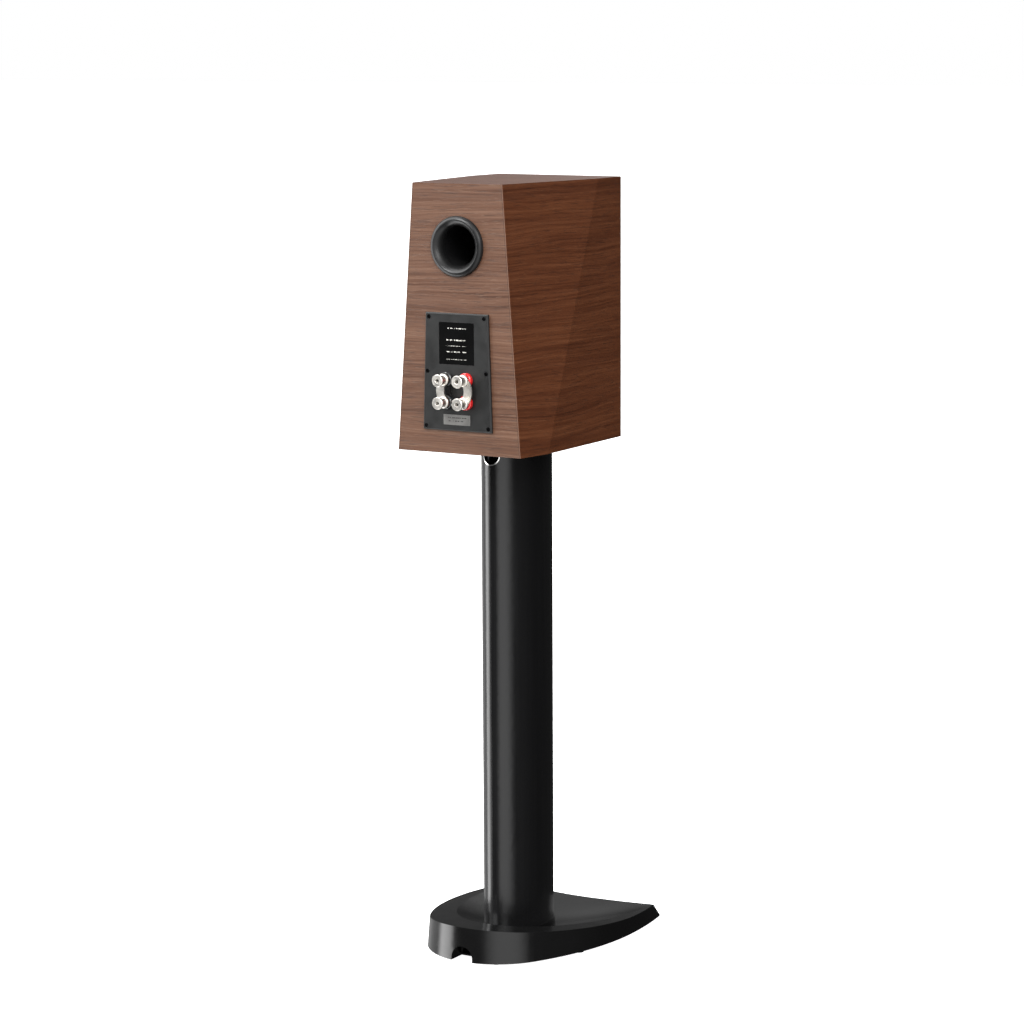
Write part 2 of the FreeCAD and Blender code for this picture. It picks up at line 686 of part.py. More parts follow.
def make_terminals():
    outline = [(-d.plate_half_low, d.plate_low), (d.plate_half_low, d.plate_low),
               (d.plate_half_high, d.plate_high), (-d.plate_half_high, d.plate_high)]
    holes = [(x, up, d.stud_rad + 0.1) for name, x, up in post_spots()]
    holes += [(x, up, 1.7) for x, up in plate_screw_spots()]
    panel = plate("terminal_plate", outline, 0, d.plate_deep, holes)
    cut_pocket(panel, "terminal_plate_well", d.plate_deep, 1.2, circles=[(0, d.post_mid_up, 11.5)])
    cut_pocket(panel, "terminal_plate_seat", d.plate_deep, 1.6,
               circles=[(x, up, 3.3) for x, up in plate_screw_spots()])
    doc.recompute()
    solid = panel.Shape
    rims = []
    for number, edge in enumerate(solid.Edges, start=1):
        heights = [v.Z for v in edge.Vertexes]
        straight = isinstance(edge.Curve, Part.Line)
        if straight and min(heights) > d.plate_deep.value - 0.01:
            rims.append(f"Edge{number}")
    flat = panel.Tip
    bevel = panel.newObject("PartDesign::Chamfer", "terminal_plate_bevel")
    bevel.Base = (flat, rims)
    bevel.Size = 1.6
    panel.Tip = bevel
    keep(at_rear(panel), "terminal_plate")

    screws = []
    for number, (x, up) in enumerate(plate_screw_spots()):
        screw = turned(f"plate_screw{number}", [
            (0, -12), (0.9, -12), (1.45, -10), (1.45, 2.4), (3.0, 2.4), (3.0, 3.7), (2.4, 4.2),
            (1.1, 4.2), (1.1, 3.2), (0, 3.2)])
        put(screw, -x, d.front_y + d.cab_depth, d.stand_rise + up, REAR)
        screws.append(screw)
    group("terminal_plate_screws", screws)

    for name, half, low, high, thick in (("terminal_label", 28.6, 127, 186, 0.5),
                                         ("rating_label", 22.1, 41.4, 56, 0.4)):
        label = plate(name, [(-half, low), (half, low), (half, high), (-half, high)],
                      d.plate_deep, thick)
        keep(at_rear(label), name)

    studs = []
    rings = {"red": [], "black": []}
    for name, x, up in post_spots():
        stud = turned("stud_" + name, [
            (0, -20), (2.5, -20), (2.5, -12), (5.5, -12), (5.5, -4), (6.5, -4), (6.5, 0),
            (d.stud_rad, 0), (d.stud_rad, d.stud_end), (d.socket_rad, d.stud_end),
            (d.socket_rad, d.stud_end - d.socket_deep), (0, d.stud_end - d.socket_deep)])
        nut = tube("stud_nut_" + name, 4.5, 2.55, -16.8, 3.2)
        studs += [at_rear(stud, -x, up), at_rear(nut, -x, up)]
        ring = turned("ring_" + name, [
            (d.stud_rad + 0.1, d.plate_deep), (d.ring_rad, d.plate_deep),
            (d.ring_rad, d.ring_top - 1.2), (d.ring_rad - 1.2, d.ring_top),
            (d.stud_rad + 0.1, d.ring_top)])
        rings[name.split("_")[0]].append(at_rear(ring, -x, up))
        make_post_nut(name, x, up)
    group("post_studs", studs)
    group("post_rings_red", rings["red"])
    group("post_rings_black", rings["black"])
    make_straps()


def make_post_nut(name, x, up):
    """Loose clamp washer and the turning nut that bears on it."""
    seat = d.ring_top + d.strap_thick
    washer = tube("clamp_washer_" + name, d.washer_rad, d.stud_rad + 0.3, seat, d.washer_thick)
    keep(at_rear(washer, -x, up), "clamp_washer_" + name)
    low = seat + d.washer_thick
    bore = d.stud_rad + d.fit_gap
    cap = d.nut_cap_rad
    nut = turned("post_nut_" + name, [
        (bore, low), (cap - 0.8, low), (cap - 0.3, low + 0.5), (cap - 0.3, low + 2),
        (cap - 0.8, low + 2.5), (d.nut_neck_rad, low + 3.3), (d.nut_neck_rad, d.nut_top - 5.2),
        (cap - 0.9, d.nut_top - 4.4), (cap, d.nut_top - 3.6), (cap, d.nut_top - 0.9),
        (cap - 0.9, d.nut_top), (d.nut_hole + 0.5, d.nut_top), (d.nut_hole, d.nut_top - 0.5),
        (d.nut_hole, d.nut_top - 2.8), (bore, d.nut_top - 2.8)])
    groove = [(d.nut_neck_rad - 0.55, 0), (d.nut_neck_rad + 0.5, -0.6), (d.nut_neck_rad + 0.5, 0.6)]
    cut_pocket(nut, "nut_rib_" + name, d.nut_top - 5.3, 8.0, outline=groove, count=18)
    keep(at_rear(nut, -x, up), "post_nut_" + name)


def make_straps():
    """Curved metal links with round ends, from each upper post to the lower post below it."""
    reach = math.atan2(d.post_up.value, d.post_x.value)
    across, rise = math.cos(reach), math.sin(reach)
    for word, side in (("red", 1), ("black", -1)):
        outer, inner = d.strap_outer, d.strap_inner
        end = (outer - inner) * 0.48 * -side
        low_out = (side * across * outer, -rise * outer, side * -outer * (1 - across))
        high_out = (side * across * outer, rise * outer, end)
        high_in = (side * across * inner, rise * inner, side * inner * (1 - across))
        low_in = (side * across * inner, -rise * inner, end)
        outline = [low_out, high_out, high_in, low_in]
        holes = [(side * d.post_x, sy * d.post_up, d.stud_rad + 0.3) for sy in (-1, 1)]
        strap = plate("jumper_" + word, outline, d.ring_top, d.strap_thick, holes)
        keep(at_rear(strap, 0, d.post_mid_up), "jumper_" + word)


# ---------------------------------------------------------------- crossover

def make_crossover():
    """Filter board behind the terminal plate, carried by the posts' inner shoulders."""
    mid = d.post_mid_up
    holes = [(x, up, 2.6) for _, x, up in post_spots()]
    board = plate("crossover_board", [(-36, 55), (36, 55), (36, 179), (-36, 179)], -13.6, 1.6, holes)
    keep(at_rear(board), "crossover_board")
    floor = -13.6
    big = turned("inductor_woofer", [(8, floor - 20), (21, floor - 20), (21, floor - 18.5),
                 (19.5, floor - 18.5), (19.5, floor - 1.5), (21, floor - 1.5), (21, floor), (8, floor)])
    small = tube("inductor_tweeter", 8.5, 3, floor - 14, 14)
    group("crossover_inductors", [at_rear(big, -11, 150), at_rear(small, 0, mid)])
    caps = []
    for number, (x, up, radius, length) in enumerate(((-24, 120, 8, 32), (-24, 157, 7, 20))):
        can = turned(f"capacitor{number}", [
            (0, 0), (radius - 0.8, 0), (radius, 0.8), (radius, length - 0.8),
            (radius - 0.8, length), (0, length)])
        put(can, -x, d.front_y + d.cab_depth + floor - radius, d.stand_rise + up)
        caps.append(can)
    group("crossover_capacitors", caps)
    bars = [box(f"resistor{number}", (22, 8, 8),
                (low, d.front_y + d.cab_depth + floor - 8, d.stand_rise + 57))
            for number, low in enumerate((-30, 8))]
    group("crossover_resistors", bars)


def wire_path(points, radius):
    """Straight runs joined by tangent arcs."""
    edges = []
    start = points[0]
    for before, corner, after in zip(points, points[1:], points[2:]):
        back = (before - corner).normalize()
        ahead = (after - corner).normalize()
        turn = math.pi - back.getAngle(ahead)
        trim = radius * math.tan(turn / 2)
        enter = corner + back * trim
        leave = corner + ahead * trim
        middle = corner + (back + ahead).normalize() * (radius / math.cos(turn / 2) - radius)
        edges.append(Part.LineSegment(start, enter).toShape())
        edges.append(Part.Arc(enter, middle, leave).toShape())
        start = leave
    edges.append(Part.LineSegment(start, points[-1]).toShape())
    return Part.Wire(edges)


def make_wires():
    """Insulated leads from the crossover board to both drive units."""
    rear = d.front_y.value + d.cab_depth.value
    low = d.stand_rise.value
    wire_rad = 1.1
    bend = 9
    runs = []
    for side in (-1, 1):
        x = 31 + 2 * side
        runs.append([Vector(x, rear - 14, low + 88 + 6 * side),
                     Vector(x, rear - 60, low + 88 + 6 * side),
                     Vector(x + 17, rear - 110, low + 70 + 6 * side),
                     Vector(63 + 2 * side, d.front_y.value + 110, low + 118 + 5 * side),
                     Vector(62, d.front_y.value + 60, low + 118 + 5 * side),
                     Vector(56, d.front_y.value + 34, low + 118 + 5 * side)])
        x = -32 + 2 * side
        front = d.front_y.value
        runs.append([Vector(x, rear - 14, low + 98), Vector(x, rear - 72, low + 102),
                     Vector(x, rear - 72, low + 244), Vector(x * 0.9, front + 110, low + 250),
                     Vector(x * 0.8, front + 62, low + 252),
                     Vector(-21 + 2 * side, front + 30, low + 261 - side)])
    solids = []
    for points in runs:
        path = wire_path(points, bend)
        ahead = (points[1] - points[0]).normalize()
        section = Part.Wire([Part.Circle(points[0], ahead, wire_rad).toShape()])
        lead = path.makePipeShell([section], True, False)
        expected = math.pi * wire_rad ** 2 * path.Length
        if abs(lead.Volume - expected) > 0.02 * expected:
            raise RuntimeError("a lead's volume doesn't match its section and length")
        solids.append(lead)
    keep(shaped("internal_wires", Part.makeCompound(solids)), "internal_wires")


# ---------------------------------------------------------------- stand

def oval(name, grow, low, high):
    """Solid elliptical bar about the column's axis, larger than it by a margin."""
    ring = doc.addObject("Part::Ellipse", name + "_line")
    ring.MajorRadius = (d.column_half_y + grow).value
    ring.setExpression("MajorRadius", (d.column_half_y + grow).text)
    ring.MinorRadius = (d.column_half_x + grow).value
    ring.setExpression("MinorRadius", (d.column_half_x + grow).text)
    put(ring, 0, d.column_y, low, Rotation(Vector(0, 0, 1), 90))
    bar = doc.addObject("Part::Extrusion", name)
    bar.Base = ring
    bar.DirMode = "Custom"
    bar.Dir = Vector(0, 0, 1)
    bar.Solid = True
    span = dim(high) - dim(low)
    bar.LengthFwd = span.value
    bar.setExpression("LengthFwd", span.text)
    return bar


def fuse(name, items):
    """Union of several objects."""
    item = doc.addObject("Part::MultiFuse", name)
    item.Shapes = items
    return item


def boss_spots():
    """The column's four full-length screw channels."""
    return [(sx * d.boss_x, d.column_y + sy * d.boss_y) for sx in (-1, 1) for sy in (-1, 1)]


def make_column():
    span = d.column_high - d.column_low
    shell = cut("column_shell", oval("column_bar", 0, d.column_low, d.column_high),
                [oval("column_core", -d.column_wall, d.column_low - 1, d.column_high + 1)])
    bosses = [rod(f"column_boss{i}", d.boss_rad, span, (x, y, d.column_low))
              for i, (x, y) in enumerate(boss_spots())]
    body = fuse("column_profile", [shell] + bosses)
    trimmed = doc.addObject("Part::Common", "column_trimmed")
    trimmed.Base = body
    trimmed.Tool = oval("column_limit", 0, d.column_low, d.column_high)
    along = Rotation(Vector(1, 0, 0), -90)
    centre_z = d.stand_rise - d.notch_drop
    tools = [rod(f"column_bore{i}", 2.6, span + 2, (x, y, d.column_low - 1))
             for i, (x, y) in enumerate(boss_spots())]
    tools.append(rod("column_notch", d.notch_rad, 40, (0, d.column_y + 50, centre_z), along))
    tools.append(box("column_notch_top", (2 * d.notch_rad, 40, 20),
                     (-d.notch_rad, d.column_y + 50, centre_z)))
    keep(cut("stand_column", trimmed, tools), "stand_column")

    loop = cut("trim_loop", rod("trim_outer", d.notch_rad - 0.1, 40, (0, d.column_y + 50, centre_z), along),
               [rod("trim_hole", d.notch_rad - 0.1 - d.trim_thick, 42,
                    (0, d.column_y + 49, centre_z), along),
                box("trim_above", (40, 42, 20), (-20, d.column_y + 49, centre_z))])
    legs = [box(f"trim_leg{i}", (d.trim_thick, 40, d.column_high - centre_z),
                (x, d.column_y + 50, centre_z))
            for i, x in enumerate((-(d.notch_rad - 0.1), d.notch_rad - 0.1 - d.trim_thick))]
    band = doc.addObject("Part::Common", "cable_notch_trim")
    band.Base = fuse("trim_shape", [loop] + legs)
    band.Tool = cut("trim_zone", oval("trim_zone_out", 0.7, 690, d.column_high),
                    [oval("trim_zone_in", -(d.column_wall + 0.7), 680, 760)])
    keep(band, "cable_notch_trim")


def make_top_plate():
    low = d.column_high
    x, y = d.top_half_x, d.top_half_y
    round_in = 12
    bulge = -round_in * (1 - math.sqrt(0.5))
    outline = [(-x + round_in, -y), (x - round_in, -y, bulge), (x, -y + round_in),
               (x, y - round_in, bulge), (x - round_in, y), (-x + round_in, y, bulge),
               (-x, y - round_in), (-x, -y + round_in, bulge)]
    holes = [(sx * d.boss_x, sy * d.boss_y, 3.3) for sx in (-1, 1) for sy in (-1, 1)]
    holes += [(sx * d.speaker_bolt_x, sy * d.speaker_bolt_y, 3.2) for sx in (-1, 1) for sy in (-1, 1)]
    top = plate("stand_top_plate", outline, 0, d.top_thick, holes)
    cut_pocket(top, "top_plate_seat", d.top_thick, 4,
               circles=[(sx * d.boss_x, sy * d.boss_y, 5.4) for sx in (-1, 1) for sy in (-1, 1)])
    keep(put(top, 0, d.column_y, low), "stand_top_plate")

    pads = []
    for number, (sx, sy) in enumerate(((-1, -1), (-1, 1), (1, -1), (1, 1))):
        pad = plate(f"isolation_pad{number}", 9, 0, d.pad_rise)
        pads.append(put(pad, sx * 46, d.column_y + sy * 76, low + d.top_thick))
    group("isolation_pads", pads)

    bolts = []
    for number, (x, y) in enumerate(speaker_bolt_spots()):
        bolt = turned(f"speaker_bolt{number}", [
            (0, -4.6), (4.6, -4.6), (5, -4.2), (5, 0), (3, 0), (3, 20), (2.4, 21), (0, 21)])
        bolts.append(put(bolt, x, y, low))
    group("speaker_bolts", bolts)

    bolts = []
    for number, (x, y) in enumerate(boss_spots()):
        upper = turned(f"column_top_bolt{number}", [
            (0, -30), (2, -30), (2.5, -28), (2.5, 0), (5.1, 0), (5.1, 3.4), (2, 3.4), (2, 1.2), (0, 1.2)])
        lower = turned(f"column_low_bolt{number}", [
            (0, -11.5), (2, -11.5), (2, -13.5), (5.1, -13.5), (5.1, -10), (2.5, -10), (2.5, 28),
            (2, 30), (0, 30)])
        bolts.append(put(upper, x, y, low + 2))
        bolts.append(put(lower, x, y, d.column_low))
    group("column_bolts", bolts)


def base_outline(z, rear, shoulder, side, tip, front):
    """Plan outline of the base at one height: round rear, full sides, hollow front."""
    def mirrored(p):
        return Vector(-p.x, p.y, p.z)
    rear = Vector(0, rear, z)
    shoulder = Vector(*shoulder, z)
    side = Vector(*side, z)
    tip = Vector(*tip, z)
    front = Vector(0, front, z)

    def bowed(a, b, turn):
        """Arc between two points that turns by an angle."""
        chord = b - a
        outward = Vector(-chord.y, chord.x, 0).normalize()
        height = chord.Length / 2 * math.tan(math.radians(turn) / 4)
        return (a + b) * 0.5 + outward * height
    flank = bowed(shoulder, side, 29.6)
    cheek = bowed(side, tip, 11.2)
    edges = [
        Part.Arc(mirrored(shoulder), rear, shoulder),
        Part.Arc(shoulder, flank, side),
        Part.Arc(side, cheek, tip),
        Part.Arc(tip, front, mirrored(tip)),
        Part.Arc(mirrored(tip), mirrored(cheek), mirrored(side)),
        Part.Arc(mirrored(side), mirrored(flank), mirrored(shoulder)),
    ]
    return Part.Wire([e.toShape() for e in edges])


def cable_way(well_y, rear_y, foot):
    """Space for the cable: a well under the column, a floored channel and an arched mouth."""
    half = d.arch_rad.value
    reach = 20
    crown = d.arch_top.value - half
    mouth_y = rear_y - d.mouth_deep.value
    mouth = Part.makeCylinder(half, d.mouth_deep.value + reach, Vector(0, mouth_y, crown), Vector(0, 1, 0))
    legs = Part.makeBox(2 * half, d.mouth_deep.value + reach, crown, Vector(-half, mouth_y, 0))
    channel = Part.makeCylinder(half, rear_y - well_y, Vector(0, well_y, d.channel_top.value - half),
                                Vector(0, 1, 0))
    well = Part.makeCylinder(d.notch_rad.value, 60, Vector(0, well_y, 0))
    floor = Part.makeBox(4 * half, mouth_y - well_y + 2 * half, foot + d.channel_floor.value,
                         Vector(-2 * half, well_y - 2 * half, 0))
    return mouth.fuse(legs).fuse(channel).fuse(well).cut(floor)


def make_base():
    """Moulded base: drafted walls, a top that climbs to the rear, and a sunk dish round the column."""
    foot = d.foot_rise.value
    blank_top = 56
    floor_line = base_outline(foot, rear=286, shoulder=(91.5, 233), side=(142.6, 42),
                              tip=(131.5, -71.5), front=-56)
    roof_line = base_outline(blank_top, rear=281.5, shoulder=(88.5, 229.5), side=(137.6, 44),
                             tip=(121.5, -32), front=-16.5)
    blank = Part.makeLoft([floor_line, roof_line], True, True)

    def on_arc(y, front, rear, radius):
        """Height of a shallow arc that sags between two points in the long section."""
        slope = (rear[1] - front[1]) / (rear[0] - front[0])
        return front[1] + slope * (y - front[0]) - (y - front[0]) * (rear[0] - y) / (2 * radius)
    front, middle, rear = (-100, 115, 310)
    rim = ((-56, 22), (281, 51.5), 3155)
    line = Part.Arc(*[Vector(0, y, on_arc(y, *rim)) for y in (front, middle, rear)]).toShape()
    lift = Vector(0, 0, 90)
    low_front, low_rear = line.Vertexes[0].Point, line.Vertexes[-1].Point
    side_face = Part.Face(Part.Wire([
        line, Part.LineSegment(low_rear, low_rear + lift).toShape(),
        Part.LineSegment(low_rear + lift, low_front + lift).toShape(),
        Part.LineSegment(low_front + lift, low_front).toShape()]))
    side_face.translate(Vector(-200, 0, 0))
    above = side_face.extrude(Vector(400, 0, 0))
    solid = blank.cut(above)

    dish = ((-40, 22), (222, 43.8), 440)
    wires = []
    for y in (224, 216, 198, 170, 130, 80, 20, -40, -110):
        half = 126 * math.sqrt(max(0.0, 1 - (max(y, -16) + 16) ** 2 / 242.0 ** 2))
        edge_z = on_arc(y, *rim) + 0.05
        low_z = on_arc(y, *dish)
        low_z = min(low_z, edge_z - 0.15) if y > 0 else low_z
        if y < -16:
            low_z = 22 - 0.02 * (y + 40)
            edge_z = low_z + 0.3
            half = 127
        left, right = Vector(-half, y, edge_z), Vector(half, y, edge_z)
        up = Vector(0, 0, 60)
        wires.append(Part.Wire([
            Part.Arc(left, Vector(0, y, low_z), right).toShape(),
            Part.LineSegment(right, right + up).toShape(),
            Part.LineSegment(right + up, left + up).toShape(),
            Part.LineSegment(left + up, left).toShape()]))
    hollow = Part.makeLoft(wires, True, False)
    solid = solid.cut(hollow)

    mid = d.column_y.value - d.front_y.value
    ring = Part.Ellipse(Vector(0, mid + d.column_half_y.value + 2, 0),
                        Vector(d.column_half_x.value + 2, mid, 0), Vector(0, mid, 0)).toShape()
    plinth = Part.Face(Part.Wire([ring])).extrude(Vector(0, 0, d.column_low.value - foot))
    plinth.translate(Vector(0, 0, foot))
    socket_line = Part.Ellipse(Vector(0, mid + d.column_half_y.value + 0.4, 0),
                               Vector(d.column_half_x.value + 0.4, mid, 0), Vector(0, mid, 0)).toShape()
    socket = Part.Face(Part.Wire([socket_line])).extrude(Vector(0, 0, 60))
    socket.translate(Vector(0, 0, d.column_low.value))
    solid = solid.fuse(plinth).cut(socket).removeSplitter()

    solid = solid.cut(cable_way(mid, 286, foot))
    for x, y in boss_spots():
        spot = Vector(float(dim(x).value), y.value - d.front_y.value, 0)
        solid = solid.cut(Part.makeCylinder(2.7, 60, spot))
        solid = solid.cut(Part.makeCylinder(5.4, d.column_low.value - 10, spot))
    base = shaped("stand_base", solid)
    keep(put(base, 0, d.front_y, 0), "stand_base")

    feet = []
    spots = [(side * x, y) for x, y in ((122, -45), (118, 150), (45, 262)) for side in (-1, 1)]
    for number, (x, y) in enumerate(spots):
        pad = plate(f"base_foot{number}", d.foot_rad, 0, d.foot_rise)
        feet.append(put(pad, x, d.front_y + y, 0))
    group("base_feet", feet)


# ---------------------------------------------------------------- build

def check_all():
    """Stop if any object failed or any sub-part is not a valid solid."""
    for item in doc.Objects:
        if "Invalid" in item.State or "Error" in item.State:
            raise RuntimeError("failed: " + item.Name + " " + str(item.State))
    for item in NODES:
        shape = item.Shape
        if shape.isNull() or not shape.isValid() or not shape.Solids:
            raise RuntimeError("bad shape: " + item.Label)


def main():
    make_cabinet()
    make_woofer()
    make_tweeter()
    make_driver_screws()
    make_port()
    make_terminals()
    make_crossover()
    make_wires()
    make_column()
    make_top_plate()
    make_base()
    doc.recompute()
    check_all()
    os.makedirs("parts", exist_ok=True)
    for item in NODES:
        item.Shape.exportStep(f"parts/{item.Label}.step")
    print(len(NODES), "sub-parts written")


main()
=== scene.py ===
"""Looks of the two-way bookshelf speaker on its floor stand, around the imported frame. Metres.

+Z is up, +Y out of the speaker's rear and the camera stands behind the speaker.
"""

import json
import math

import bmesh
import bpy
from mathutils import Matrix, Vector, noise


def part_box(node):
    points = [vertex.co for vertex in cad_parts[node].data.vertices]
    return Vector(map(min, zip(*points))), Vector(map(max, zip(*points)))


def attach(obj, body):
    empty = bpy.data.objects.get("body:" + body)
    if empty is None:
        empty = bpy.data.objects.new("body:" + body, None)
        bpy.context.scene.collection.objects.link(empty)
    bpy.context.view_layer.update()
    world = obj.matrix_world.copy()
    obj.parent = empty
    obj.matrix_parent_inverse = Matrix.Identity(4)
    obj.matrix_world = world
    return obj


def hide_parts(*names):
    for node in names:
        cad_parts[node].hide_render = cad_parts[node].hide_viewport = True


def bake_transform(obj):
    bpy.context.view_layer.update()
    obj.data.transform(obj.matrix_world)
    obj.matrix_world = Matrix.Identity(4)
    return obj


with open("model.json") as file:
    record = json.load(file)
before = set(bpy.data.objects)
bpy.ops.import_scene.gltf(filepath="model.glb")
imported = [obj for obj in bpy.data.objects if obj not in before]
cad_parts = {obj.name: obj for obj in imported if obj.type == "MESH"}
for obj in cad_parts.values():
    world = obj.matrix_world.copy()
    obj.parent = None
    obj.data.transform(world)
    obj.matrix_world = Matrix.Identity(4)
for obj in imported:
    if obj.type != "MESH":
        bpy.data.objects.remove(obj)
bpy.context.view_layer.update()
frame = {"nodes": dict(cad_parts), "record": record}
NODES = frame["nodes"]
SLOT_OF = {part["node"]: part["material_slot"] for part in frame["record"]["subparts"]}

ROOT = "speaker_and_stand"
MM = 0.001
WELD = 0.001 * MM

# Socket numbers of Blender's Mix and Map Range nodes.
MIX_SHARE = 0
MIX_FLOATS = (2, 3)
MIX_COLORS = (6, 7)
RANGE_ENDS = slice(1, 5)


# ---------------------------------------------------------------- camera, stage and light

def make_camera():
    """Behind the speaker, a little above its middle, with a long lens."""
    spot = (-2.374417, 3.896808, 1.336951)
    focal_length = 111.33
    azimuth = math.radians(211.475)
    elevation = math.radians(8.723)
    roll = math.radians(-0.3)
    back = Vector((math.sin(azimuth) * math.cos(elevation),
                   -math.cos(azimuth) * math.cos(elevation),
                   math.sin(elevation)))
    level = (-back).cross(Vector((0, 0, 1))).normalized()
    rise = level.cross(-back)
    right = level * math.cos(roll) + rise * math.sin(roll)
    up = rise * math.cos(roll) - level * math.sin(roll)
    data = bpy.data.cameras.new("camera")
    data.lens = focal_length
    data.sensor_width = 36
    camera = bpy.data.objects.new("camera", data)
    bpy.context.scene.collection.objects.link(camera)
    turn = Matrix((right, up, back)).transposed().to_4x4()
    camera.matrix_world = Matrix.Translation(spot) @ turn
    bpy.context.scene.camera = camera


def make_floor():
    """A wide white floor that shows no edge."""
    half = 60
    mesh = bpy.data.meshes.new("floor")
    corners = [(-half, -half, 0), (half, -half, 0), (half, half, 0), (-half, half, 0)]
    mesh.from_pydata(corners, [], [(0, 1, 2, 3)])
    floor = bpy.data.objects.new("floor", mesh)
    bpy.context.scene.collection.objects.link(floor)
    paint = Paint("floor_white", {"Base Color": (0.8, 0.8, 0.8), "Roughness": 0.9,
                                  "Emission Color": (1, 1, 1), "Emission Strength": 0.97})
    mesh.materials.append(paint.material)
    floor.visible_glossy = False
    floor.visible_diffuse = False


class Sky:
    """World light put together from lobes, each brightest towards one compass direction."""

    def __init__(self, tree):
        self.tree = tree
        towards = self.add("TexCoord").outputs["Generated"]
        split = self.add("SeparateXYZ")
        self.link(towards, split.inputs[0])
        self.height = split.outputs["Z"]
        level = self.add("CombineXYZ")
        self.link(split.outputs["X"], level.inputs["X"])
        self.link(split.outputs["Y"], level.inputs["Y"])
        unit = self.add("VectorMath", operation="NORMALIZE")
        self.link(level.outputs[0], unit.inputs[0])
        self.compass = unit.outputs[0]
        self.total = None

    def add(self, kind, **settings):
        node = self.tree.nodes.new("ShaderNode" + kind)
        for key, value in settings.items():
            setattr(node, key, value)
        return node

    def link(self, source, socket):
        self.tree.links.new(source, socket)

    def glow(self, value, low, high, start, gain):
        """Smooth step from one radiance to another, added to the total."""
        step = self.add("MapRange", interpolation_type="SMOOTHSTEP")
        self.link(value, step.inputs[0])
        for socket, number in zip(step.inputs[RANGE_ENDS], (low, high, start, gain)):
            socket.default_value = number
        if self.total is None:
            self.total = step.outputs[0]
            return
        both = self.add("Math", operation="ADD")
        self.link(self.total, both.inputs[0])
        self.link(step.outputs[0], both.inputs[1])
        self.total = both.outputs[0]

    def lobe(self, azimuth, outer, inner, gain):
        """Tall light about an azimuth: dark beyond the outer angle, full within the inner one.

        The azimuth is in degrees from +X towards +Y.
        """
        turn = math.radians(azimuth)
        facing = self.add("VectorMath", operation="DOT_PRODUCT")
        self.link(self.compass, facing.inputs[0])
        facing.inputs[1].default_value = (math.cos(turn), math.sin(turn), 0)
        self.glow(facing.outputs["Value"], math.cos(math.radians(outer)),
                  math.cos(math.radians(inner)), 0.0, gain)


def make_world():
    """White behind the object; for its light, a dim room with tall soft lights round it."""
    world = bpy.data.worlds.new("studio")
    world.use_nodes = True
    bpy.context.scene.world = world
    sky = Sky(world.node_tree)
    sky.glow(sky.height, low=0.06, high=0.4, start=0.03, gain=0.3)
    sky.lobe(azimuth=121, outer=110, inner=60, gain=0.08)
    sky.lobe(azimuth=25, outer=20, inner=6, gain=6.0)
    sky.lobe(azimuth=-12, outer=50, inner=15, gain=0.7)
    sky.lobe(azimuth=133, outer=42, inner=5, gain=1.5)
    path = sky.add("LightPath")
    seen = sky.add("Mix")
    room, backdrop_white = (seen.inputs[number] for number in MIX_FLOATS)
    backdrop_white.default_value = 1.0
    sky.link(path.outputs["Is Camera Ray"], seen.inputs[MIX_SHARE])
    sky.link(sky.total, room)
    backdrop = world.node_tree.nodes["Background"]
    sky.link(seen.outputs[0], backdrop.inputs["Strength"])
    backdrop.inputs["Color"].default_value = (1, 1, 1, 1)


def softbox(name, spot, size, power):
    """Square area light aimed just above the top of the stand; size in metres, power in watts."""
    target = Vector((0, 0, 0.8))
    data = bpy.data.lights.new(name, "AREA")
    data.shape = "SQUARE"
    data.size = size
    data.energy = power
    light = bpy.data.objects.new(name, data)
    bpy.context.scene.collection.objects.link(light)
    light.location = spot
    aim = target - light.location
    light.rotation_euler = aim.to_track_quat("-Z", "Y").to_euler()


def make_lights():
    softbox("key_high", spot=(1.3, 3.4, 4.0), size=2.2, power=235)
    softbox("fill_right", spot=(-2.8, 2.4, 2.8), size=2.0, power=75)
    softbox("fill_front", spot=(0.6, -3.6, 3.0), size=2.6, power=25)
    bpy.context.scene.view_settings.view_transform = "Standard"


# ---------------------------------------------------------------- material kit

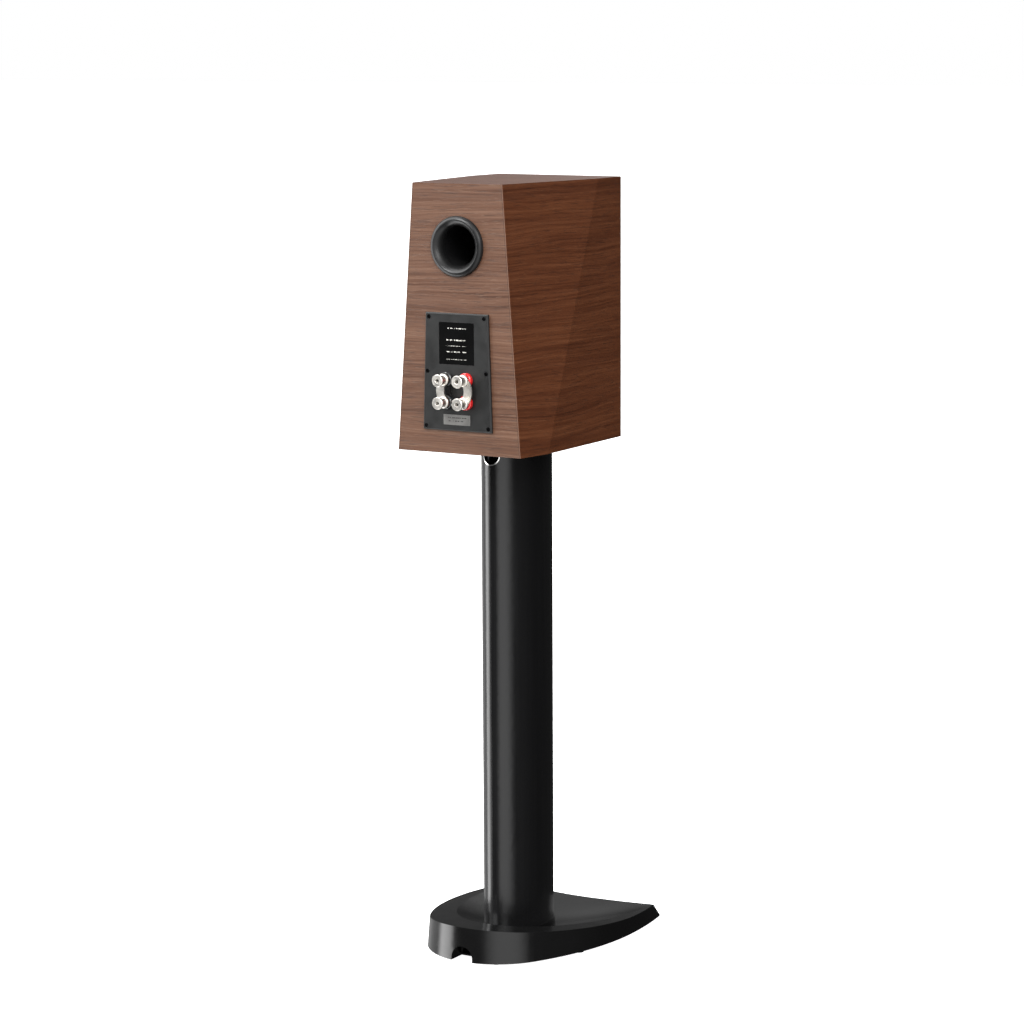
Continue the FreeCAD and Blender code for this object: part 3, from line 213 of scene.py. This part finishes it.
class Paint:
    """A material put together node by node around one Principled shader."""

    def __init__(self, name, look):
        self.material = bpy.data.materials.new(name)
        self.material.use_nodes = True
        self.tree = self.material.node_tree
        self.shader = self.tree.nodes["Principled BSDF"]
        self.place = self.add("TexCoord").outputs["Object"]
        for socket, value in look.items():
            self.feed(self.shader.inputs[socket], value)

    def add(self, kind, **settings):
        node = self.tree.nodes.new("ShaderNode" + kind)
        for key, value in settings.items():
            setattr(node, key, value)
        return node

    def feed(self, socket, value):
        """Link a socket, or set it to a number or a colour."""
        if isinstance(value, bpy.types.NodeSocket):
            self.tree.links.new(value, socket)
        elif socket.type == "RGBA":
            socket.default_value = (*value, 1)
        else:
            socket.default_value = value

    def axis(self, letter):
        """One coordinate of the surface point."""
        node = self.add("SeparateXYZ")
        self.feed(node.inputs[0], self.place)
        return node.outputs[letter]

    def calc(self, operation, *values):
        node = self.add("Math", operation=operation)
        for socket, value in zip(node.inputs, values):
            self.feed(socket, value)
        return node.outputs[0]

    def noise(self, scale, detail=3.0, roughness=0.5, source=None):
        """Noise that is stretched by one scale for each axis."""
        stretch = self.add("VectorMath", operation="MULTIPLY")
        self.feed(stretch.inputs[0], source or self.place)
        stretch.inputs[1].default_value = scale
        node = self.add("TexNoise")
        self.feed(node.inputs["Vector"], stretch.outputs[0])
        self.feed(node.inputs["Scale"], 1.0)
        self.feed(node.inputs["Detail"], detail)
        self.feed(node.inputs["Roughness"], roughness)
        return node.outputs[0]

    def level(self, value, low, high, out_low=0.0, out_high=1.0):
        """Smooth step of a value between two levels."""
        node = self.add("MapRange", interpolation_type="SMOOTHSTEP")
        for socket, number in zip(node.inputs, (value, low, high, out_low, out_high)):
            self.feed(socket, number)
        return node.outputs[0]

    def ramp(self, value, *stops):
        """Colour ramp through (position, colour) stops."""
        node = self.add("ValToRGB")
        self.feed(node.inputs[0], value)
        elements = node.color_ramp.elements
        while len(elements) < len(stops):
            elements.new(0.5)
        for element, (position, color) in zip(elements, stops):
            element.position = position
            element.color = (*color, 1)
        return node.outputs[0]

    def mix(self, share, first, second, blend="MIX"):
        """Colour mix; the share picks the second colour."""
        node = self.add("Mix", data_type="RGBA", blend_type=blend)
        self.feed(node.inputs[MIX_SHARE], share)
        for number, color in zip(MIX_COLORS, (first, second)):
            self.feed(node.inputs[number], color)
        return node.outputs[2]

    def color(self, value):
        self.feed(self.shader.inputs["Base Color"], value)

    def rough(self, value, low, high):
        """Roughness between two levels, driven by a value from 0 to 1."""
        self.feed(self.shader.inputs["Roughness"], self.level(value, 0.3, 0.7, low, high))

    def bump(self, height, depth, strength=1.0):
        node = self.add("Bump")
        self.feed(node.inputs["Strength"], strength)
        self.feed(node.inputs["Distance"], depth)
        self.feed(node.inputs["Height"], height)
        self.feed(self.shader.inputs["Normal"], node.outputs[0])


def shade(color, factor):
    return tuple(min(1.0, channel * factor) for channel in color)


def moulded(name, color, roughness, grain=1800, depth=0.04 * MM, look=None, sway=1.0):
    """Moulded or painted surface: fine pebble grain, faint mottling and uneven gloss.

    sway scales how uneven the gloss is.
    """
    paint = Paint(name, look or {})
    cloud = paint.noise((14, 14, 14), 4)
    pebble = paint.noise((grain, grain, grain), 2)
    paint.color(paint.ramp(cloud, (0.3, shade(color, 0.8)), (0.7, shade(color, 1.2))))
    gloss = paint.noise((60, 60, 60), 4)
    paint.rough(gloss, roughness - 0.05 * sway, roughness + 0.07 * sway)
    paint.bump(pebble, depth)
    return paint


def machined(name, color, roughness, lines, depth=0.015 * MM, look=None):
    """Metal with fine tool lines; lines gives the line density along each axis."""
    paint = Paint(name, {"Metallic": 1.0, **(look or {})})
    line = paint.noise(lines, 3)
    smudge = paint.noise((90, 90, 90), 4)
    paint.color(paint.ramp(line, (0.25, shade(color, 0.82)), (0.75, shade(color, 1.1))))
    paint.rough(smudge, roughness, roughness + 0.12)
    paint.bump(line, depth)
    return paint


# ---------------------------------------------------------------- wood

def veneer(name, across_axis, tint=(1, 1, 1)):
    """Satin-lacquered walnut veneer; its grain lines are packed along one axis."""
    paint = Paint(name, {"Coat Weight": 0.2, "Coat Roughness": 0.38, "Specular IOR Level": 0.4})

    def stretched(run, across):
        return tuple(across if axis == across_axis else run for axis in "XYZ")

    drift = paint.noise(stretched(2.2, 9), 2)
    shift = paint.add("CombineXYZ")
    paint.feed(shift.inputs[across_axis], paint.calc("MULTIPLY", drift, 0.035))
    wavy = paint.add("VectorMath", operation="ADD")
    paint.feed(wavy.inputs[0], paint.place)
    paint.feed(wavy.inputs[1], shift.outputs[0])
    wavy = wavy.outputs[0]
    band = paint.noise(stretched(1.1, 46), 4, 0.55, wavy)
    streak = paint.noise(stretched(5, 430), 4, 0.7, wavy)
    pore = paint.level(paint.noise(stretched(34, 900), 2, 0.5, wavy), 0.57, 0.67)
    fleck = paint.level(paint.noise(stretched(60, 560), 1, 0.4, wavy), 0.64, 0.72)
    pore_color = (0.030, 0.010, 0.005)
    fleck_color = (0.27, 0.135, 0.075)
    figure = paint.calc("MULTIPLY_ADD", streak, 0.66, paint.calc("MULTIPLY", band, 0.34))
    wood = paint.ramp(figure, (0.36, (0.064, 0.0195, 0.008)), (0.46, (0.094, 0.030, 0.0125)),
                      (0.55, (0.118, 0.0405, 0.0175)), (0.66, (0.152, 0.057, 0.0265)))
    wood = paint.mix(paint.calc("MULTIPLY", pore, 0.5), wood, pore_color)
    wood = paint.mix(paint.calc("MULTIPLY", fleck, 0.12), wood, fleck_color)
    # The tint multiplies the panel's colour: painted shade on the sides, top and bottom, and partly
    # painted sheen on the rear.
    wood = paint.mix(1.0, wood, tint, "MULTIPLY")
    paint.rough(streak, 0.36, 0.5)
    paint.bump(paint.calc("SUBTRACT", streak, pore), 0.12 * MM, 0.5)
    return paint, wood


def side_veneer():
    # The tint darkens and reddens the sides: painted shade.
    paint, wood = veneer("veneer_side", "Z", (0.93, 0.82, 0.62))
    paint.color(wood)
    return paint.material


def cross_veneer():
    # The tint darkens the top and bottom: painted shade against their sheen.
    paint, wood = veneer("veneer_top", "Y", (0.8, 0.85, 0.9))
    paint.color(wood)
    return paint.material


def front_veneer():
    paint, wood = veneer("veneer_front", "Z")
    paint.color(wood)
    return paint.material


def rear_veneer():
    """The rear panel's veneer, tinted paler and greyer (partly its own paler veneer, partly painted
    sheen), with a pale lipping that is partly a painted highlight, and a dark joint down both
    slanted edges.
    """
    lipping_and_highlight_full = 0.7 * MM
    lipping_and_highlight_end = 1.4 * MM
    joint_end = 2.6 * MM
    joint_color = (0.035, 0.013, 0.008)
    lipping_and_highlight_color = (0.34, 0.19, 0.12)
    # The tint makes the rear veneer paler and greyer: partly its own paler veneer, partly painted
    # sheen.
    paint, wood = veneer("veneer_rear", "Z", (0.95, 1.3, 1.68))
    low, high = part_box("cabinet_back")
    rear = [v.co for v in NODES["cabinet_back"].data.vertices if v.co.y > high.y - 0.1 * MM]
    foot = max(co.x for co in rear if co.z < low.z + MM)
    head = max(co.x for co in rear if co.z > high.z - MM)
    slope = (head - foot) / (high.z - low.z)
    edge = paint.calc("MULTIPLY_ADD", paint.axis("Z"), slope, foot - slope * low.z)
    inward = paint.calc("SUBTRACT", edge, paint.calc("ABSOLUTE", paint.axis("X")))
    joint = paint.level(inward, lipping_and_highlight_end, joint_end, 0.75, 0.0)
    # Pale strip along the slanted edges: partly the veneer's lipping, partly a painted highlight on
    # the eased arris.
    lipping_and_highlight = paint.level(inward, lipping_and_highlight_full, lipping_and_highlight_end, 0.4, 0.0)
    wood = paint.mix(joint, wood, joint_color)
    paint.color(paint.mix(lipping_and_highlight, wood, lipping_and_highlight_color))
    return paint.material


def raw_board():
    """Fibreboard: matted short fibres."""
    paint = Paint("raw_board", {})
    fibre = paint.noise((900, 300, 900), 4, 0.7)
    paint.color(paint.ramp(fibre, (0.3, (0.26, 0.17, 0.10)), (0.7, (0.52, 0.38, 0.25))))
    paint.rough(fibre, 0.75, 0.95)
    paint.bump(fibre, 0.2 * MM)
    return paint.material


# ---------------------------------------------------------------- plastics, rubber and cloth

def felt():
    paint = Paint("felt", {"Sheen Weight": 0.5, "Sheen Roughness": 0.6})
    tuft = paint.noise((700, 700, 700), 5, 0.8)
    paint.color(paint.ramp(tuft, (0.3, (0.16, 0.17, 0.18)), (0.7, (0.42, 0.43, 0.44))))
    paint.rough(tuft, 0.85, 1.0)
    paint.bump(tuft, 0.6 * MM)
    return paint.material


def black_plastic():
    return moulded("black_plastic", (0.007, 0.007, 0.0072), 0.34, 1800, 0.02 * MM,
                   {"Specular IOR Level": 0.34}).material


def terminal_black():
    return moulded("terminal_black", (0.0075, 0.0078, 0.0078), 0.44, 1500, 0.02 * MM,
                   {"Specular IOR Level": 0.4}).material


def cast_basket():
    return moulded("cast_basket", (0.03, 0.03, 0.032), 0.45, 900, 0.08 * MM).material


def surround_rubber():
    return moulded("surround_rubber", (0.014, 0.014, 0.014), 0.62, 2400, 0.03 * MM).material


def spider_cloth():
    """Woven cloth dipped in resin: crossed yarns."""
    paint = Paint("spider_cloth", {})
    warp = paint.noise((1600, 90, 90), 2)
    weft = paint.noise((90, 90, 1600), 2)
    yarn = paint.calc("MAXIMUM", warp, weft)
    paint.color(paint.ramp(yarn, (0.4, (0.24, 0.13, 0.04)), (0.7, (0.58, 0.38, 0.15))))
    paint.rough(yarn, 0.55, 0.8)
    paint.bump(yarn, 0.15 * MM)
    return paint.material


def circuit_board():
    """Green solder mask over faintly raised copper tracks."""
    paint = Paint("circuit_board", {"Coat Weight": 0.3})
    track = paint.level(paint.noise((45, 45, 160), 1), 0.48, 0.52)
    paint.color(paint.mix(track, (0.015, 0.10, 0.045), (0.03, 0.19, 0.08)))
    paint.rough(paint.noise((80, 80, 80), 3), 0.3, 0.45)
    paint.bump(track, 0.05 * MM)
    return paint.material


def capacitor_film():
    return moulded("capacitor_film", (0.55, 0.36, 0.06), 0.25, 500, 0.05 * MM,
                   {"Coat Weight": 0.5}).material


def resistor_ceramic():
    return moulded("resistor_ceramic", (0.74, 0.72, 0.66), 0.75, 1300, 0.1 * MM).material


def wire_insulation():
    return moulded("wire_insulation", (0.5, 0.03, 0.02), 0.35, 600, 0.03 * MM,
                   {"Coat Weight": 0.2}).material


def printed_rows(paint, node, rows, reach):
    """Mask of short broken dashes in rows, like lines of small generic print.

    Each row is (height on the label from 0 to 1, half thickness in metres), and reach is the
    part of the label's half width that the rows fill.
    """
    low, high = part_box(node)
    middle = (low + high) / 2
    half = (high - low) / 2
    total = 0.0
    for height, thick in rows:
        line = low.z + (high.z - low.z) * height
        away = paint.calc("ABSOLUTE", paint.calc("SUBTRACT", paint.axis("Z"), line))
        total = paint.calc("MAXIMUM", total, paint.level(away, thick * 0.6, thick, 1.0, 0.0))
    aside = paint.calc("ABSOLUTE", paint.calc("SUBTRACT", paint.axis("X"), middle.x))
    inside = paint.level(aside, half.x * reach * 0.9, half.x * reach, 1.0, 0.0)
    dash = paint.level(paint.noise((700, 10, 120), 2), 0.46, 0.52)
    return paint.calc("MULTIPLY", paint.calc("MULTIPLY", total, inside), dash)


def label_black():
    """Glossy black label with rows of generic pale print."""
    paint = Paint("label_black", {"Specular IOR Level": 0.35})
    rows = ((0.86, 0.8 * MM), (0.58, 1.1 * MM), (0.44, 0.4 * MM), (0.30, 0.9 * MM), (0.12, 0.4 * MM))
    ink = paint.ramp(paint.noise((30, 30, 30), 3), (0.3, (0.002, 0.002, 0.002)),
                     (0.7, (0.004, 0.004, 0.0042)))
    print_color = (0.62, 0.61, 0.56)
    dashes = printed_rows(paint, "terminal_label", rows, 0.6)
    paint.color(paint.mix(dashes, ink, print_color))
    paint.rough(paint.noise((25, 25, 25), 3), 0.1, 0.13)
    return paint.material


def post_ring(name, color):
    """Translucent-looking glossy plastic ring."""
    return moulded(name, color, 0.22, 900, 0.01 * MM,
                   {"Coat Weight": 0.6, "Subsurface Weight": 0.15,
                    "Subsurface Radius": (0.002, 0.0006, 0.0004)}).material


def post_red():
    return post_ring("post_red", (0.62, 0.012, 0.012))


def post_black():
    return post_ring("post_black", (0.016, 0.016, 0.016))


# ---------------------------------------------------------------- metals

def cone_metal():
    return machined("cone_metal", (0.60, 0.61, 0.63), 0.34, (500, 500, 500)).material


def copper():
    """Enamelled wire, wound turn by turn."""
    return machined("copper", (0.78, 0.36, 0.17), 0.3, (160, 3200, 160), 0.12 * MM,
                    {"Coat Weight": 0.4}).material


def motor_steel():
    return machined("motor_steel", (0.46, 0.47, 0.50), 0.36, (300, 2400, 300)).material


def ferrite():
    return moulded("ferrite", (0.045, 0.045, 0.048), 0.6, 1100, 0.1 * MM).material


def black_screw():
    return machined("black_screw", (0.009, 0.009, 0.0095), 0.34, (2000, 700, 2000)).material


def guard_metal():
    return moulded("guard_metal", (0.025, 0.025, 0.026), 0.42, 2600, 0.02 * MM).material


def label_silver():
    """Brushed metal label with two rows of generic dark print."""
    paint = Paint("label_silver", {"Metallic": 1.0})
    line = paint.noise((60, 60, 3000), 3)
    metal = paint.ramp(line, (0.25, (0.19, 0.186, 0.178)), (0.75, (0.26, 0.255, 0.245)))
    rows = ((0.7, 0.9 * MM), (0.38, 0.9 * MM))
    print_color = (0.03, 0.03, 0.03)
    dashes = printed_rows(paint, "rating_label", rows, 0.75)
    paint.color(paint.mix(paint.calc("MULTIPLY", dashes, 0.8), metal, print_color))
    paint.rough(paint.noise((90, 90, 90), 4), 0.42, 0.54)
    paint.bump(line, 0.015 * MM)
    return paint.material


def post_metal():
    return machined("post_metal", (0.74, 0.71, 0.66), 0.33, (260, 2600, 260), 0.004 * MM).material


def notch_chrome():
    return machined("notch_chrome", (0.84, 0.83, 0.81), 0.1, (120, 700, 120)).material


def stand_black():
    """Anodised extrusion: die lines run up the column."""
    paint = Paint("stand_black", {"Specular IOR Level": 0.5})
    die_line = paint.noise((900, 900, 3), 3, 0.6)
    paint.color(paint.ramp(die_line, (0.3, (0.004, 0.004, 0.0043)), (0.7, (0.008, 0.008, 0.0085))))
    paint.rough(paint.noise((30, 30, 8), 4), 0.2, 0.26)
    paint.bump(die_line, 0.008 * MM)
    return paint.material


def base_black():
    return moulded("base_black", (0.0045, 0.0045, 0.0046), 0.18, 900, 0.0015 * MM,
                   {"Specular IOR Level": 0.45}, sway=0.3).material


LOOKS = {
    "baffle_veneer": front_veneer, "raw_board": raw_board, "felt": felt,
    "black_plastic": black_plastic, "cast_basket": cast_basket, "cone_metal": cone_metal,
    "surround_rubber": surround_rubber, "spider_cloth": spider_cloth, "copper": copper,
    "motor_steel": motor_steel, "ferrite": ferrite, "black_screw": black_screw,
    "guard_metal": guard_metal, "circuit_board": circuit_board, "capacitor_film": capacitor_film,
    "resistor_ceramic": resistor_ceramic, "wire_insulation": wire_insulation,
    "terminal_black": terminal_black, "label_black": label_black, "label_silver": label_silver,
    "post_metal": post_metal, "stand_black": stand_black, "base_black": base_black,
    "notch_chrome": notch_chrome, "post_red": post_red, "post_black": post_black,
}


def paint_nodes():
    """Give every CAD node the finish of its material slot, and return the materials."""
    made = {slot: look() for slot, look in LOOKS.items()}
    for name, node in NODES.items():
        slot = SLOT_OF[name]
        if slot in made:
            node.material_slots[0].material = made[slot]
    return made


# ---------------------------------------------------------------- pieces

def copied(node):
    """The CAD node's mesh as a welded bmesh, with flat faces left whole."""
    form = bmesh.new()
    form.from_mesh(NODES[node].data)
    bmesh.ops.remove_doubles(form, verts=form.verts, dist=WELD)
    return form


def piece(name, form, material, sharp=40):
    """A new object from a bmesh, smooth-shaded up to an angle."""
    mesh = bpy.data.meshes.new(name)
    form.to_mesh(mesh)
    form.free()
    for polygon in mesh.polygons:
        polygon.use_smooth = True
    mesh.set_sharp_from_angle(angle=math.radians(sharp))
    mesh.materials.append(material)
    item = bpy.data.objects.new(name, mesh)
    bpy.context.scene.collection.objects.link(item)
    return item


def veneered_panel(node, material):
    """A cabinet panel with its long arrises eased, as sanded veneer is."""
    flat = math.radians(0.3)
    corner = math.radians(30)
    long_edge = 50 * MM
    ease = 0.45 * MM
    form = copied(node)
    bmesh.ops.dissolve_limit(form, angle_limit=flat, verts=form.verts, edges=form.edges)
    arrises = [edge for edge in form.edges
               if edge.is_manifold and edge.calc_length() > long_edge
               and edge.calc_face_angle() > corner]
    bmesh.ops.bevel(form, geom=arrises, offset=ease, segments=2, profile=0.5, affect="EDGES")
    item = piece(node + "_veneered", form, material, 2)
    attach(item, ROOT)
    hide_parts(node)


def make_panels(made):
    side = side_veneer()
    across = cross_veneer()
    for node, material in (("cabinet_back", rear_veneer()), ("cabinet_top", across),
                           ("cabinet_bottom", across), ("cabinet_side_left", side),
                           ("cabinet_side_right", side),
                           ("front_baffle", made["baffle_veneer"])):
        veneered_panel(node, material)


def ring_sectors(node, count, made):
    """Cut a soft ring into sectors, one object each."""
    on_plane = 0.0001 * MM
    low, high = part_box(node)
    middle = (low + high) / 2
    for index in range(count):
        form = copied(node)
        for side in (-1, 1):
            turn = 2 * math.pi * (index + 0.5 + side * 0.5) / count
            wall = Vector((-math.sin(turn), 0, math.cos(turn))) * side
            bmesh.ops.bisect_plane(form, geom=form.verts[:] + form.edges[:] + form.faces[:],
                                   dist=on_plane, plane_co=middle, plane_no=wall,
                                   clear_outer=True)
            rim = [edge for edge in form.edges if edge.is_boundary]
            bmesh.ops.holes_fill(form, edges=rim, sides=0)
        item = piece(f"{node}_sector_{index + 1:02d}", form, made[SLOT_OF[node]])
        turn = 2 * math.pi * (index + 0.5) / count
        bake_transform(item)
        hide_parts(node)


def make_soft_rings(made):
    """Woofer surround, woofer spider and tweeter surround."""
    sectors = 12
    for ring, moving, inner in (("woofer_surround", "woofer_diaphragm", "woofer_cone"),
                                ("woofer_spider", "woofer_diaphragm", "woofer_voice_coil"),
                                ("tweeter_surround", "tweeter_diaphragm", "tweeter_dome")):
        ring_sectors(ring, sectors, made)


def make_damping(made):
    """The wadding slab, with a soft uneven face and rounded rims."""
    cell = 6 * MM
    lumps_per_metre = 45
    least_sunk = 0.4 * MM
    more_sunk = 2.2 * MM
    form = copied("damping_felt")
    bmesh.ops.triangulate(form, faces=form.faces)
    rough = bpy.data.meshes.new("damping_rough")
    form.to_mesh(rough)
    form.free()
    source = bpy.data.objects.new("damping_rough", rough)
    bpy.context.scene.collection.objects.link(source)
    remesh = source.modifiers.new("remesh", "REMESH")
    remesh.mode = "VOXEL"
    remesh.voxel_size = cell
    graph = bpy.context.evaluated_depsgraph_get()
    dense = bmesh.new()
    dense.from_mesh(source.evaluated_get(graph).to_mesh())
    bpy.data.objects.remove(source)
    dense.normal_update()
    for vert in dense.verts:
        lump = 0.5 + 0.5 * noise.noise(vert.co * lumps_per_metre)
        vert.co -= vert.normal * (least_sunk + more_sunk * lump)
    item = piece("damping_wadding", dense, made["felt"], 80)
    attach(item, ROOT)
    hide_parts("damping_felt")


make_camera()
make_world()
make_floor()
make_lights()
finishes = paint_nodes()
make_panels(finishes)
make_soft_rings(finishes)
make_damping(finishes)
